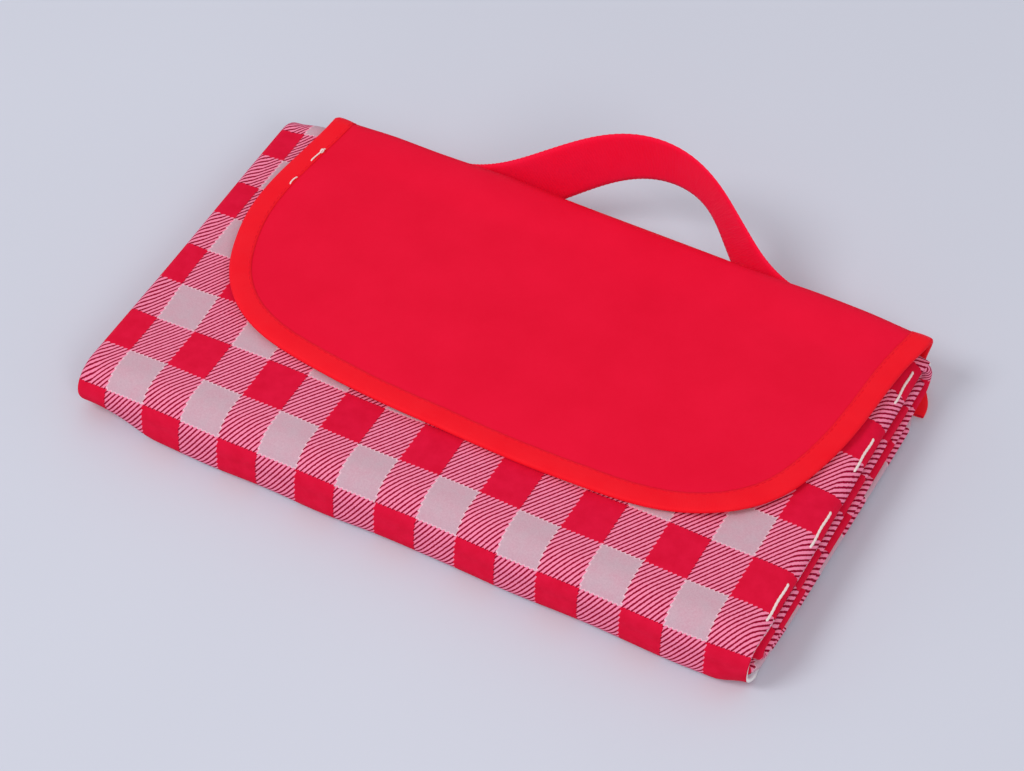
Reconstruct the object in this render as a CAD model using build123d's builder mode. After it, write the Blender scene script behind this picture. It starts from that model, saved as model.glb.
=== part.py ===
from build123d import *
import os
from math import cos, pi, sin

# A padded gingham picnic mat, folded for carrying: the mat is folded in three across its width and the strip
# is rolled flat into four leaves. A red panel runs under the back edge, up the spine and over the top as a
# flap with rounded front corners, and a webbing handle is sewn to the spine.
# Millimetres. The origin is on the ground under the middle of the pack, +X along the pack's length towards
# its right end, +Y towards the spine, +Z up.

os.makedirs("parts", exist_ok=True)

# ---- driving dimensions ----------------------------------------------------------------------------------

# folded mat
pack_length = 330.0
pack_height = 30.0
pack_front_y = -99.0
pack_back_y = 96.5
leaves = 4
face_thickness = 0.35
wadding_thickness = 1.91
backing_thickness = 0.14
ply_gap = 0.03
free_edge_inset = 0.5
edge_stitch_inset = 2.5

# red panel: the spine stands behind the mat and the flap lies on top of it
panel_left_x = -150.5
panel_right_x = 158.5
oxford_thickness = 0.5
interlining_thickness = 0.8
spine_inner_y = 97.2
spine_top_z = 32.0
tail_depth = 15.0
flap_bottom_z = 32.8
flap_front_y = -54.0
flap_corner_radius = 82.0

# edge binding
binding_width = 10.5
binding_thickness = 0.4
binding_wrap = 0.5

# white thread ends on the flap
tack_x = -140.5
tack_middles_y = (47.0, 68.5)
tack_length = 7.0
tack_radius = 0.6
knot_radius = 1.1

# hook and loop closure
tape_length = 90.0
tape_width = 20.0
tape_front_y = -42.0
tape_thickness = 1.0
thread_width = 0.6
thread_height = 0.2

# webbing handle
webbing_width = 30.0
webbing_thickness = 1.6
handle_centre_x = 7.0
handle_half_span = 90.5
handle_foot_z = 16.0
handle_bow = 22.0
handle_rise = 40.4
handle_drift = 7.3
handle_top_lean = -0.08
handle_sections = 17
sewn_end_length = 28.0
box_stitch_size = 22.0
body_clearance = 0.5

# ---- derived dimensions ----------------------------------------------------------------------------------

leaf = pack_height / leaves
third = face_thickness + wadding_thickness + backing_thickness + 2 * ply_gap
stack_thickness = 2 * oxford_thickness + interlining_thickness
spine_outer_y = spine_inner_y + stack_thickness
hinge_y = spine_inner_y + stack_thickness / 2
flap_top_z = flap_bottom_z + stack_thickness
tail_bottom_z = binding_thickness
tail_front_y = spine_outer_y - tail_depth
tail_thickness = 2 * oxford_thickness
tail_recess_z = tail_bottom_z + tail_thickness + 2 * binding_thickness
edge_stitch_front_y = pack_front_y + pack_height / 2
edge_stitch_length = pack_back_y - pack_height / 2 - edge_stitch_front_y
edge_stitch_middle_y = edge_stitch_front_y + edge_stitch_length / 2


def finish(part, name):
    """Labels a finished piece and writes its STEP file."""
    part.label = name
    export_step(part, f"parts/{name}.step")


# ---- the folded mat: one laminate of face cloth, wadding and backing -------------------------------------


def strip_side(offset):
    """One side of the rolled strip, offset outwards from its middle line, from the free edge inwards."""
    front_centre = (pack_front_y + leaves * leaf / 2, leaves * leaf / 2)
    back_centre = (pack_back_y - (leaves - 1) * leaf / 2, (leaves + 1) * leaf / 2)
    start = (pack_back_y, leaf / 2 - offset)
    for turn in range(leaves - 1):
        at_front = turn % 2 == 0
        centre_y, centre_z = front_centre if at_front else back_centre
        side = -1 if at_front else 1
        radius = (leaves - 1 - turn) * leaf / 2 + offset
        entry = (centre_y, centre_z + side * radius)
        Line(start, entry)
        start = (centre_y, centre_z - side * radius)
        if radius > ply_gap:
            ThreePointArc(entry, (centre_y + side * radius, centre_z), start)
    end = (back_centre[0], start[1])
    Line(start, end)
    return (pack_back_y, leaf / 2 - offset), end


def strip_ply(inner, outer, left, right):
    """A ply of the rolled strip between two offsets, from left to right along the pack."""
    with BuildSketch(Plane.YZ.offset(left)) as section:
        with BuildLine():
            inner_start, inner_end = strip_side(inner)
            outer_start, outer_end = strip_side(outer)
            Line(inner_start, outer_start)
            Line(inner_end, outer_end)
        make_face()
    extrude(section.sketch, amount=right - left)


def laminate_ply(depth, thickness):
    """One ply of the whole mat at a depth behind its face, with the folds that join its three thirds."""
    near = depth
    far = depth + thickness
    outside = leaf / 2
    middle = outside - third
    inside = outside - 3 * third
    left = -pack_length / 2
    right = pack_length / 2
    strip_ply(outside - far, outside - near, left + near, right - free_edge_inset)
    strip_ply(middle - far, middle - near, left + third + free_edge_inset, right - near)
    strip_ply(inside + near, inside + far, left + near, right - near)
    strip_ply(inside + near, outside - near, left + near, left + far)
    strip_ply(inside + near, middle - near, right - far, right - near)
    with BuildSketch(Plane.YZ.offset(left)) as recess:
        with Locations((tail_front_y - body_clearance, 0)):
            Rectangle(tail_depth, tail_recess_z, align=(Align.MIN, Align.MIN))
    extrude(recess.sketch, amount=pack_length, mode=Mode.SUBTRACT)


with BuildPart() as gingham_face:
    laminate_ply(0, face_thickness)
finish(gingham_face.part, "gingham_face")

with BuildPart() as foam_wadding:
    laminate_ply(face_thickness + ply_gap, wadding_thickness)
finish(foam_wadding.part, "foam_wadding")

with BuildPart() as waterproof_backing:
    laminate_ply(face_thickness + wadding_thickness + 2 * ply_gap, backing_thickness)
finish(waterproof_backing.part, "waterproof_backing")

# the line of white thread along the free edge, on the top leaf
with BuildPart() as edge_stitch:
    with BuildSketch(Plane.XY.offset(pack_height)):
        with Locations((pack_length / 2 - free_edge_inset - edge_stitch_inset, edge_stitch_middle_y)):
            Rectangle(thread_width, edge_stitch_length)
    extrude(amount=thread_height)
finish(edge_stitch.part, "edge_stitch")


# ---- the red panel up the back of the pack ---------------------------------------------------------------


def folded_panel(back_y, inner_y, bottom_z, tail_top_z, left, right, mode=Mode.ADD):
    """A panel that stands up the spine and turns under the pack as a tail."""
    with BuildSketch(Plane.YZ.offset(left)) as section:
        with BuildLine():
            Polyline(
                (tail_front_y, bottom_z),
                (back_y, bottom_z),
                (back_y, spine_top_z),
                (inner_y, spine_top_z),
                (inner_y, tail_top_z),
                (tail_front_y, tail_top_z),
                close=True,
            )
        make_face()
    extrude(section.sketch, amount=right - left, mode=mode)


cloth_left_x = panel_left_x + binding_wrap
cloth_right_x = panel_right_x - binding_wrap
lining_bottom_z = tail_bottom_z + oxford_thickness
lining_back_y = spine_inner_y + oxford_thickness
tail_top_z = lining_bottom_z + oxford_thickness

with BuildPart() as spine_panel:
    panel_inner_y = spine_outer_y - oxford_thickness
    folded_panel(spine_outer_y, panel_inner_y, tail_bottom_z, lining_bottom_z, cloth_left_x, cloth_right_x)
finish(spine_panel.part, "spine_panel")

with BuildPart() as spine_lining:
    folded_panel(lining_back_y, spine_inner_y, lining_bottom_z, tail_top_z, cloth_left_x, cloth_right_x)
finish(spine_lining.part, "spine_lining")

with BuildPart() as spine_interlining:
    with BuildSketch(Plane.YZ.offset(cloth_left_x)):
        with Locations((lining_back_y, lining_bottom_z)):
            Rectangle(interlining_thickness, spine_top_z - lining_bottom_z, align=(Align.MIN, Align.MIN))
    extrude(amount=cloth_right_x - cloth_left_x)
finish(spine_interlining.part, "spine_interlining")


def spine_binding(left, right):
    """Tape folded round one bound end of the spine and its tail."""
    with BuildPart() as tape:
        folded_panel(
            spine_outer_y + binding_thickness,
            spine_inner_y - binding_thickness,
            tail_bottom_z - binding_thickness,
            tail_top_z + binding_thickness,
            left,
            right,
        )
        folded_panel(
            spine_outer_y,
            spine_inner_y,
            tail_bottom_z,
            tail_top_z,
            cloth_left_x,
            cloth_right_x,
            Mode.SUBTRACT,
        )
    return tape.part


finish(spine_binding(panel_left_x, panel_left_x + binding_width), "spine_binding_left")
finish(spine_binding(panel_right_x - binding_width, panel_right_x), "spine_binding_right")

with BuildPart() as tail_seam_stitch:
    with BuildSketch(Plane.XY.offset(tail_bottom_z - thread_height)):
        with Locations(((panel_left_x + panel_right_x) / 2, tail_front_y + tail_depth / 3)):
            Rectangle(panel_right_x - panel_left_x - 2 * binding_width, thread_width)
    extrude(amount=thread_height)
finish(tail_seam_stitch.part, "tail_seam_stitch")


# ---- the flap --------------------------------------------------------------------------------------------


def flap_layer(inset, bottom_z, thickness, back_y=hinge_y, mode=Mode.ADD):
    """A layer with the flap's outline, inset from the outside of the binding."""
    left = panel_left_x + inset
    right = panel_right_x - inset
    front = flap_front_y + inset
    radius = flap_corner_radius - inset
    with BuildSketch(Plane.XY.offset(bottom_z)) as outline:
        with BuildLine():
            Line((left, back_y), (left, front + radius))
            CenterArc((left + radius, front + radius), radius, 180, 90)
            Line((left + radius, front), (right - radius, front))
            CenterArc((right - radius, front + radius), radius, 270, 90)
            Line((right, front + radius), (right, back_y))
            Line((right, back_y), (left, back_y))
        make_face()
    extrude(outline.sketch, amount=thickness, mode=mode)


interlining_bottom_z = flap_bottom_z + oxford_thickness
flap_panel_bottom_z = interlining_bottom_z + interlining_thickness
binding_top_z = flap_top_z + binding_thickness

with BuildPart() as flap_lining:
    flap_layer(binding_wrap, flap_bottom_z, oxford_thickness)
finish(flap_lining.part, "flap_lining")

with BuildPart() as flap_interlining:
    flap_layer(binding_wrap, interlining_bottom_z, interlining_thickness)
finish(flap_interlining.part, "flap_interlining")

with BuildPart() as flap_panel:
    flap_layer(binding_wrap, flap_panel_bottom_z, oxford_thickness)
finish(flap_panel.part, "flap_panel")

with BuildPart() as flap_binding:
    tape_bottom_z = flap_bottom_z - binding_thickness
    tape_total = stack_thickness + 2 * binding_thickness
    flap_layer(0, tape_bottom_z, tape_total)
    flap_layer(binding_width, tape_bottom_z, tape_total, hinge_y + 1, Mode.SUBTRACT)
    flap_layer(binding_wrap, flap_bottom_z, stack_thickness, hinge_y + 1, Mode.SUBTRACT)
finish(flap_binding.part, "flap_binding")

with BuildPart() as flap_binding_stitch:
    stitch_inset = binding_width - 2 * thread_width
    flap_layer(stitch_inset - thread_width, binding_top_z, thread_height)
    flap_layer(stitch_inset, binding_top_z, thread_height, hinge_y + 1, Mode.SUBTRACT)
finish(flap_binding_stitch.part, "flap_binding_stitch")

# two stitches of white basting thread at the back left of the flap, the rear one ending in a knot
with BuildPart() as white_thread_ends:
    tack_bottom_z = binding_top_z + thread_height
    for middle_y in tack_middles_y:
        with BuildSketch(Plane.XZ.offset(-middle_y - tack_length / 2)):
            with Locations((tack_x, tack_bottom_z + tack_radius)):
                Circle(tack_radius)
        extrude(amount=tack_length)
    with Locations((tack_x, max(tack_middles_y) + tack_length / 2, tack_bottom_z + knot_radius)):
        Sphere(knot_radius)
finish(white_thread_ends.part, "white_thread_ends")


# ---- hook and loop closure under the flap's front edge ---------------------------------------------------

tape_centre = ((panel_left_x + panel_right_x) / 2, tape_front_y + tape_width / 2)
hook_bottom_z = flap_bottom_z - tape_thickness


def closure_tape(bottom_z):
    """A strip of hook or loop tape."""
    with BuildPart() as tape:
        with BuildSketch(Plane.XY.offset(bottom_z)):
            with Locations(tape_centre):
                Rectangle(tape_length, tape_width)
        extrude(amount=tape_thickness)
    return tape.part


def closure_stitch(bottom_z):
    """The line of thread that holds a strip of tape, just inside its edge."""
    with BuildPart() as stitch:
        with BuildSketch(Plane.XY.offset(bottom_z)):
            with Locations(tape_centre):
                Rectangle(tape_length - 2 * thread_width, tape_width - 2 * thread_width)
                Rectangle(tape_length - 4 * thread_width, tape_width - 4 * thread_width, mode=Mode.SUBTRACT)
        extrude(amount=thread_height)
    return stitch.part


finish(closure_tape(hook_bottom_z), "hook_tape")
finish(closure_stitch(hook_bottom_z - thread_height), "hook_tape_stitch")
finish(closure_tape(pack_height), "loop_tape")
finish(closure_stitch(pack_height + tape_thickness), "loop_tape_stitch")


# ---- the webbing handle ----------------------------------------------------------------------------------


def webbing_plane(along):
    """The plane across the webbing, from -1 at its left foot to 1 at its right foot."""
    height = cos(pi * along / 2) ** 2
    slope = -pi / 2 * sin(pi * along)
    inward = 1 - along**2
    centre = Vector(
        handle_centre_x + handle_half_span * along + handle_drift * inward,
        spine_outer_y + body_clearance + webbing_thickness / 2 + handle_bow * height,
        handle_foot_z + handle_rise * height,
    )
    heading = Vector(
        handle_half_span - 2 * handle_drift * along, handle_bow * slope, handle_rise * slope
    ).normalized()
    lean = handle_top_lean * inward
    upright = Vector(0, sin(lean), cos(lean))
    return Plane(origin=centre, x_dir=upright - heading * heading.dot(upright), z_dir=heading)


with BuildPart() as handle_loop:
    for section in range(handle_sections):
        with BuildSketch(webbing_plane(2 * section / (handle_sections - 1) - 1)):
            Rectangle(webbing_width, webbing_thickness)
    loft()
finish(handle_loop.part, "handle_loop")


def sewn_end(centre_x):
    """A flat end of the webbing, sewn to the spine."""
    with BuildPart() as end:
        with BuildSketch(Plane.XZ.offset(-spine_outer_y)):
            with Locations((centre_x, handle_foot_z)):
                Rectangle(sewn_end_length, webbing_width)
        extrude(amount=-webbing_thickness)
    return end.part


def box_stitch(centre_x):
    """A sewn square with a cross through it, on the outside of a sewn end."""
    inner = box_stitch_size - 2 * thread_width
    with BuildPart() as stitch:
        with BuildSketch(Plane.XZ.offset(-spine_outer_y - webbing_thickness)):
            with Locations((centre_x, handle_foot_z)):
                Rectangle(box_stitch_size, box_stitch_size)
                Rectangle(inner, inner, mode=Mode.SUBTRACT)
                Rectangle(inner * 2**0.5, thread_width, rotation=45)
                Rectangle(inner * 2**0.5, thread_width, rotation=-45)
        extrude(amount=-thread_height)
    return stitch.part


foot_to_sewn_end = handle_half_span + body_clearance + sewn_end_length / 2
for side, direction in (("left", -1), ("right", 1)):
    foot_x = handle_centre_x + direction * foot_to_sewn_end
    finish(sewn_end(foot_x), f"handle_sewn_end_{side}")
    finish(box_stitch(foot_x), f"handle_box_stitch_{side}")
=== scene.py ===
from math import cos, pi, radians, sin

import bpy
import numpy as np
from mathutils import Matrix, Vector


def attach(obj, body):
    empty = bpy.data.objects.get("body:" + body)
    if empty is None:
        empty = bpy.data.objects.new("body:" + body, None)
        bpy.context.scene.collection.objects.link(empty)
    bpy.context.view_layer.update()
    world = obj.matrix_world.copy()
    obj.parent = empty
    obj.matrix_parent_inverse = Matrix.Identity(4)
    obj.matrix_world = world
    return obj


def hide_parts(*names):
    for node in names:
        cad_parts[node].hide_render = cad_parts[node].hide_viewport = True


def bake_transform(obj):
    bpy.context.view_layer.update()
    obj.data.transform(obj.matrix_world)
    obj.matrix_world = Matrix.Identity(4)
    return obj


# A folded gingham picnic mat with a red flap, bound edges and a webbing handle. Shapes are worked out in
# millimetres in the frame's own axes, and written to the meshes in metres.

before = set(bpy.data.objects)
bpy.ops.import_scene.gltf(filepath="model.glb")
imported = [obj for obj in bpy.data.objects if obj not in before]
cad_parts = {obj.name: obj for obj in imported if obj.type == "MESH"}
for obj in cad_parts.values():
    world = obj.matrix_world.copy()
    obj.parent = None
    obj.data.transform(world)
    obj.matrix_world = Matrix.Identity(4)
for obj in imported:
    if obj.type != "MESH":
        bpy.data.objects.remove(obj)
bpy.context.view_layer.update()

MM = 0.001


# ---- small tools -----------------------------------------------------------------------------------------


def smooth(x, low, high):
    """0 below low, 1 above high, and a soft step between."""
    t = np.clip((x - low) / (high - low), 0, 1)
    return t * t * (3 - 2 * t)


def waves(x, y, length, seed, count=6):
    """Soft unevenness of about -1 to 1, from a few waves of about that length."""
    random = np.random.default_rng(seed)
    total = 0
    for _ in range(count):
        angle, phase = random.uniform(0, 2 * pi, 2)
        size = length * random.uniform(0.7, 1.5)
        total = total + np.sin((x * cos(angle) + y * sin(angle)) * 2 * pi / size + phase)
    return total / count**0.5


def unit(v):
    """Vectors made one long."""
    return v / np.maximum(np.linalg.norm(v, axis=-1, keepdims=True), 1e-9)


def resample(points, step):
    """The points of a polyline at even steps along it."""
    length = np.concatenate([[0], np.cumsum(np.linalg.norm(np.diff(points, axis=0), axis=1))])
    at = np.linspace(0, length[-1], max(2, round(length[-1] / step) + 1))
    return np.stack([np.interp(at, length, points[:, k]) for k in range(points.shape[1])], 1)


def catmull(points, each=12):
    """A smooth curve through the points."""
    p = np.concatenate([[2 * points[0] - points[1]], points, [2 * points[-1] - points[-2]]])
    out = []
    for a, b, c, d in zip(p[:-3], p[1:-2], p[2:-1], p[3:]):
        t = np.linspace(0, 1, each, endpoint=False)[:, None]
        square = (2 * a - 5 * b + 4 * c - d) * t**2
        cube = (3 * b - a - 3 * c + d) * t**3
        out.append(0.5 * (2 * b + (c - a) * t + square + cube))
    return np.concatenate(out + [points[-1:]])


def volume(points, quads):
    """About six times the volume inside the quads: below 0 where they face inwards."""
    a, b, c, d = (points[quads[:, k]] for k in range(4))
    return float((a * np.cross(b, c)).sum() + (a * np.cross(c, d)).sum())


def make(name, points, quads, uv=None, slots=None, materials=(), flip=None):
    """A smooth mesh object from points in millimetres. uv holds a pair in metres for each point."""
    quads = np.asarray(quads)
    used, quads = np.unique(quads, return_inverse=True)
    quads = quads.reshape(-1, 4)
    points = points[used]
    if flip is None:
        flip = volume(points, quads) < 0
    if flip:
        quads = quads[:, ::-1]
    mesh = bpy.data.meshes.new(name)
    mesh.from_pydata((points * MM).tolist(), [], quads.tolist())
    mesh.polygons.foreach_set("use_smooth", np.ones(len(quads), bool))
    for material in materials:
        mesh.materials.append(material)
    if slots is not None:
        mesh.polygons.foreach_set("material_index", np.asarray(slots, np.int32))
    if uv is not None:
        layer = mesh.uv_layers.new(name="cloth")
        layer.data.foreach_set("uv", uv[used][quads.ravel()].astype(np.float32).ravel())
    mesh.validate()
    mesh.update()
    obj = bpy.data.objects.new(name, mesh)
    bpy.context.collection.objects.link(obj)
    return obj


def shell(name, outside, inside, uv, materials, cells=None):
    """A closed piece of cloth between two grids of points. Its materials are for face, back and cut edge."""
    rows, columns = outside.shape[:2]
    index = np.arange(rows * columns).reshape(rows, columns)
    if cells is None:
        cells = np.ones((rows - 1, columns - 1), bool)
    i, j = np.nonzero(cells)
    corners = [index[i, j], index[i + 1, j], index[i + 1, j + 1], index[i, j + 1]]
    face = np.stack(corners, 1)
    back = face[:, ::-1] + rows * columns
    rims = []
    padded = np.pad(cells, 1)
    for di, dj, a, b in ((-1, 0, 3, 0), (1, 0, 1, 2), (0, -1, 0, 1), (0, 1, 2, 3)):
        edge = ~padded[i + 1 + di, j + 1 + dj]
        first, second = corners[a][edge], corners[b][edge]
        rims.append(np.stack([second, first, first + rows * columns, second + rows * columns], 1))
    rim = np.concatenate(rims)
    quads = np.concatenate([face, back, rim])
    slots = np.repeat([0, 1, 2], [len(face), len(back), len(rim)])
    points = np.concatenate([outside.reshape(-1, 3), inside.reshape(-1, 3)])
    flat = uv.reshape(-1, 2)
    return make(name, points, quads, np.concatenate([flat, flat]), slots, materials)


def tube(rings):
    """Points and quads of closed rings joined in a row, with capped ends."""
    count, around = rings.shape[:2]
    index = np.arange(count * around).reshape(count, around)
    after = np.roll(index, -1, axis=1)
    quads = [np.stack([index[:-1], index[1:], after[1:], after[:-1]], -1).reshape(-1, 4)]
    half = around // 2
    for ring in (index[0], index[-1][::-1]):
        k = np.arange(half - 1)
        quads.append(np.stack([ring[k], ring[k + 1], ring[around - 2 - k], ring[around - 1 - k]], 1))
    return rings.reshape(-1, 3), np.concatenate(quads)


def many(name, parts, material):
    """One object from many small closed pieces of points and quads."""
    points, quads, start = [], [], 0
    for p, q in parts:
        if volume(p, q) < 0:
            q = q[:, ::-1]
        points.append(p)
        quads.append(q + start)
        start += len(p)
    return make(name, np.concatenate(points), np.concatenate(quads), materials=(material,), flip=False)


def dash(start, end, up, thick, rise):
    """One stitch of thread: it comes up out of the cloth, lies on it and goes down again."""
    along = unit(end - start)
    side = np.cross(up, along)
    t = np.linspace(0, 1, 7)[:, None]
    centre = start + (end - start) * t + up * (rise * np.sin(pi * t) ** 0.5 - 0.35 * thick)
    angle = np.linspace(0, 2 * pi, 8, endpoint=False)
    size = thick / 2 * (0.55 + 0.45 * np.sin(pi * np.linspace(0, 1, 7)) ** 0.3)
    rings = centre[:, None] + size[:, None, None] * (
        side * np.cos(angle)[None, :, None] + up * np.sin(angle)[None, :, None]
    )
    return tube(rings)


def stitching(path, up, long=2.6, gap=0.9, thick=0.5, rise=0.18):
    """Stitches along a path of points, with the cloth's outward direction at each."""
    length = np.concatenate([[0], np.cumsum(np.linalg.norm(np.diff(path, axis=0), axis=1))])
    count = int((length[-1] + gap) // (long + gap))
    pitch = (length[-1] + gap) / count

    def at(s, table):
        return np.array([np.interp(s, length, table[:, k]) for k in range(3)])

    out = []
    for k in range(count):
        a, b = k * pitch, k * pitch + pitch - gap
        out.append(dash(at(a, path), at(b, path), unit(at((a + b) / 2, up)), thick, rise))
    return out


# ---- materials -------------------------------------------------------------------------------------------


def linear(red, green, blue):
    """A colour given as it looks on a screen, from 0 to 255."""
    out = []
    for value in (red, green, blue):
        c = value / 255
        out.append(c / 12.92 if c <= 0.04045 else ((c + 0.055) / 1.055) ** 2.4)
    return (*out, 1)


class Finish:
    """A material and the few nodes that the finishes here are made of."""

    def __init__(self, name, roughness=0.8, sheen=0.0, specular=0.06):
        self.material = bpy.data.materials.new(name)
        self.material.use_nodes = True
        self.tree = self.material.node_tree
        self.shader = self.tree.nodes["Principled BSDF"]
        self.shader.inputs["Roughness"].default_value = roughness
        self.shader.inputs["Sheen Weight"].default_value = sheen
        self.shader.inputs["Specular IOR Level"].default_value = specular

    def node(self, kind, **values):
        made = self.tree.nodes.new(kind)
        for key, value in values.items():
            setattr(made, key, value)
        return made

    def put(self, socket, value):
        if isinstance(value, bpy.types.NodeSocket):
            self.tree.links.new(value, socket)
        else:
            socket.default_value = value

    def math(self, operation, *values):
        made = self.node("ShaderNodeMath", operation=operation)
        for socket, value in zip(made.inputs, values):
            self.put(socket, value)
        return made.outputs[0]

    def mix(self, factor, first, second):
        made = self.node("ShaderNodeMix", data_type="RGBA")
        self.put(made.inputs[0], factor)
        self.put(made.inputs[6], first)
        self.put(made.inputs[7], second)
        return made.outputs[2]

    def cloth(self):
        """The place on the cloth in millimetres: across and along."""
        uv = self.node("ShaderNodeUVMap", uv_map="cloth").outputs[0]
        parts = self.node("ShaderNodeSeparateXYZ")
        self.put(parts.inputs[0], uv)
        across = self.math("MULTIPLY", parts.outputs[0], 1000.0)
        along = self.math("MULTIPLY", parts.outputs[1], 1000.0)
        return across, along

    def place(self):
        """The place in the object, in metres."""
        return self.node("ShaderNodeTexCoord").outputs["Object"]

    def noise(self, scale, detail=3.0, where=None, roughness=0.55):
        made = self.node("ShaderNodeTexNoise")
        self.put(made.inputs["Vector"], where if where is not None else self.place())
        made.inputs["Scale"].default_value = scale
        made.inputs["Detail"].default_value = detail
        made.inputs["Roughness"].default_value = roughness
        return made.outputs["Fac"]

    def fit(self, value, low, high, to_low, to_high):
        """The value's range from low to high, mapped onto another."""
        made = self.node("ShaderNodeMapRange")
        for socket, item in zip(made.inputs, (value, low, high, to_low, to_high)):
            self.put(socket, item)
        return made.outputs[0]

    def wave(self, value, pitch):
        """A soft ridge from 0 to 1 at every pitch of a length."""
        turned = self.math("MULTIPLY", value, 2 * pi / pitch)
        return self.math("MULTIPLY_ADD", self.math("SINE", turned), 0.5, 0.5)

    def weave(self, across, along, pitch_a, pitch_b):
        """Threads that pass over and under each other."""
        a, b = self.wave(across, pitch_a), self.wave(along, pitch_b)
        return self.math("ABSOLUTE", self.math("SUBTRACT", a, b))

    def bump(self, height, strength, distance):
        made = self.node("ShaderNodeBump")
        made.inputs["Strength"].default_value = strength
        made.inputs["Distance"].default_value = distance
        self.put(made.inputs["Height"], height)
        self.put(self.shader.inputs["Normal"], made.outputs[0])

    def colour(self, value):
        self.put(self.shader.inputs["Base Color"], value)

    def rough(self, value):
        self.put(self.shader.inputs["Roughness"], value)


# the check's size across and along the cloth, and where its first white bands start
CHECK = (20.0, 23.64)
CHECK_START = (-154.5, -51.9)


def gingham():
    """Red and white check with a steep twill in its mixed cells, whose edges are ragged."""
    f = Finish("gingham")
    u, v = f.cloth()
    stray = f.noise(900, 2)
    u = f.math("ADD", u, f.fit(stray, 0.3, 0.7, -0.12, 0.12))
    phase = f.math("FRACT", f.math("SUBTRACT", f.math("MULTIPLY", u, 0.455), f.math("MULTIPLY", v, 0.3)))
    ridge = f.math("ABSOLUTE", f.math("SUBTRACT", phase, 0.5))
    tooth = f.math("MULTIPLY_ADD", ridge, 1.8, -0.45)

    def band(value, start, pitch):
        """1 in a white band, and how far from its edges, in millimetres."""
        turn = f.math("FRACT", f.math("DIVIDE", f.math("SUBTRACT", value, start), pitch))
        edge = f.math("SUBTRACT", 0.25, f.math("ABSOLUTE", f.math("SUBTRACT", turn, 0.25)))
        back = f.math("SUBTRACT", f.math("ABSOLUTE", f.math("SUBTRACT", turn, 0.75)), 0.25)
        away = f.math("MULTIPLY", f.math("MAXIMUM", edge, f.math("MULTIPLY", back, -1.0)), pitch)
        inside = f.math("LESS_THAN", turn, 0.5)
        return inside, away

    ragged_u = f.math("ADD", u, tooth)
    ragged_v = f.math("ADD", v, f.math("MULTIPLY", tooth, 0.9))
    column, from_side = band(ragged_u, CHECK_START[0], 2 * CHECK[0])
    row, from_end = band(ragged_v, CHECK_START[1], 2 * CHECK[1])
    both = f.math("MULTIPLY", column, row)
    either = f.math("SUBTRACT", f.math("MAXIMUM", column, row), both)
    pale = f.fit(ridge, 0.25, 0.32, 1.0, 0.0)
    tone = f.noise(160, 4)
    fleck = f.noise(1500, 3)
    red = f.mix(f.fit(tone, 0.3, 0.7, 0.0, 1.0), linear(232, 20, 62), linear(222, 15, 54))
    pink = f.mix(f.fit(fleck, 0.3, 0.7, 0.0, 1.0), linear(255, 150, 182), linear(255, 132, 168))
    crimson = f.mix(f.fit(fleck, 0.3, 0.7, 0.0, 1.0), linear(142, 0, 40), linear(166, 4, 50))
    stripes = f.mix(pale, crimson, pink)
    white = f.mix(f.fit(tone, 0.35, 0.65, 0.0, 1.0), linear(209, 160, 176), linear(203, 168, 181))
    white = f.mix(f.fit(fleck, 0.35, 0.75, 0.0, 0.6), white, linear(220, 186, 197))
    near = f.math("MINIMUM", from_side, from_end)
    white = f.mix(f.fit(near, 0.2, 0.6, 0.75, 0.0), white, linear(255, 205, 218))
    f.colour(f.mix(both, f.mix(either, red, stripes), white))
    threads = f.weave(u, v, 0.55, 0.6)
    raised = f.math("MULTIPLY", f.math("MULTIPLY", pale, either), 0.5)
    f.bump(f.math("ADD", f.math("MULTIPLY", threads, 0.45), raised), 0.5, 0.00018)
    f.rough(f.fit(tone, 0.3, 0.7, 0.72, 0.88))
    return f.material


def oxford(name, dark, light, pitch=0.55, strength=0.35):
    """Fine plain-woven cloth with slightly uneven threads."""
    f = Finish(name)
    u, v = f.cloth()
    tone = f.noise(35, 4)
    slub = f.noise(700, 2)
    threads = f.weave(u, v, pitch, pitch * 1.12)
    shade = f.math("ADD", f.math("MULTIPLY", tone, 0.7), f.math("MULTIPLY", threads, 0.3))
    f.colour(f.mix(f.fit(shade, 0.25, 0.75, 0.0, 1.0), linear(*dark), linear(*light)))
    f.bump(f.math("ADD", f.math("MULTIPLY", threads, 0.6), f.math("MULTIPLY", slub, 0.4)), strength, 0.00015)
    f.rough(f.fit(slub, 0.3, 0.7, 0.62, 0.8))
    return f.material


def ribbed(name, dark, light, along_pitch, across_pitch, strength, sheen):
    """Tape or webbing: ribs across it and the lines of its warp along it."""
    f = Finish(name, specular=0.08)
    f.shader.inputs["Sheen Weight"].default_value = sheen
    f.shader.inputs["Sheen Roughness"].default_value = 0.5
    f.shader.inputs["Sheen Tint"].default_value = linear(255, 30, 90)
    u, v = f.cloth()
    tone = f.noise(60, 4)
    fuzz = f.noise(1800, 2)
    ribs = f.wave(v, along_pitch)
    lines = f.wave(f.math("ADD", u, f.math("MULTIPLY", ribs, across_pitch / 2)), across_pitch)
    woven = f.math("MULTIPLY_ADD", ribs, 0.6, f.math("MULTIPLY", lines, 0.4))
    shade = f.math("ADD", f.math("MULTIPLY", tone, 0.6), f.math("MULTIPLY", woven, 0.4))
    f.colour(f.mix(f.fit(shade, 0.25, 0.75, 0.0, 1.0), linear(*dark), linear(*light)))
    f.bump(f.math("ADD", woven, f.math("MULTIPLY", fuzz, 0.3)), strength, 0.0002)
    f.rough(f.fit(fuzz, 0.3, 0.7, 0.5, 0.7))
    return f.material


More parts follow.
